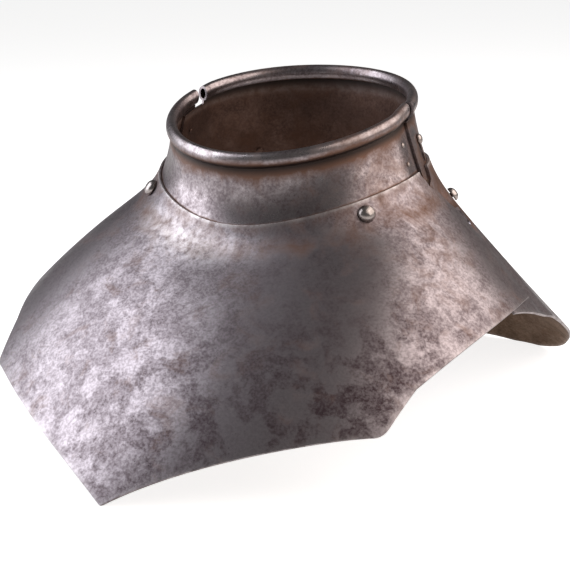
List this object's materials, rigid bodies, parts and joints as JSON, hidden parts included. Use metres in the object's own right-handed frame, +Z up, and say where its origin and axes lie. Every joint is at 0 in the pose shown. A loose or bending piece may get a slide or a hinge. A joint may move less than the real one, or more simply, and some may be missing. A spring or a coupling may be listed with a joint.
{
  "type": "steel gorget",
  "caption": "Steel gorget of plate armour: front and back plates riveted to a high hinged collar with a rolled rim, closed by a spring catch with a stud at the left shoulder.",
  "frame": {"origin": "middle of the footprint, on the surface that the gorget stands on", "axes": "+Z up out of the neck opening, -Y towards the front point, +X towards the wearer's left, where the catch is"},
  "size_m": [0.307, 0.3892, 0.2008],
  "materials": {
    "plate_steel": "aged polished plate with pitting and brown patina",
    "collar_steel": "aged polished sheet, brown inside",
    "spring_steel": "dark spring sheet",
    "rivet_steel": "polished domed heads"
  },
  "bodies": {
    "root": {"front_plate": "plate_steel", "back_plate": "plate_steel", "front_collar": "collar_steel", "back_collar": "collar_steel", "catch_spring": "spring_steel", "front_rivet_left": "rivet_steel", "front_rivet_right": "rivet_steel", "back_rivet_left": "rivet_steel", "back_rivet_right": "rivet_steel", "catch_rivet_upper": "rivet_steel", "catch_rivet_lower": "rivet_steel", "catch_stud": "rivet_steel", "tab_rivet": "rivet_steel", "shoulder_stud": "rivet_steel"}
  },
  "joints": []
}
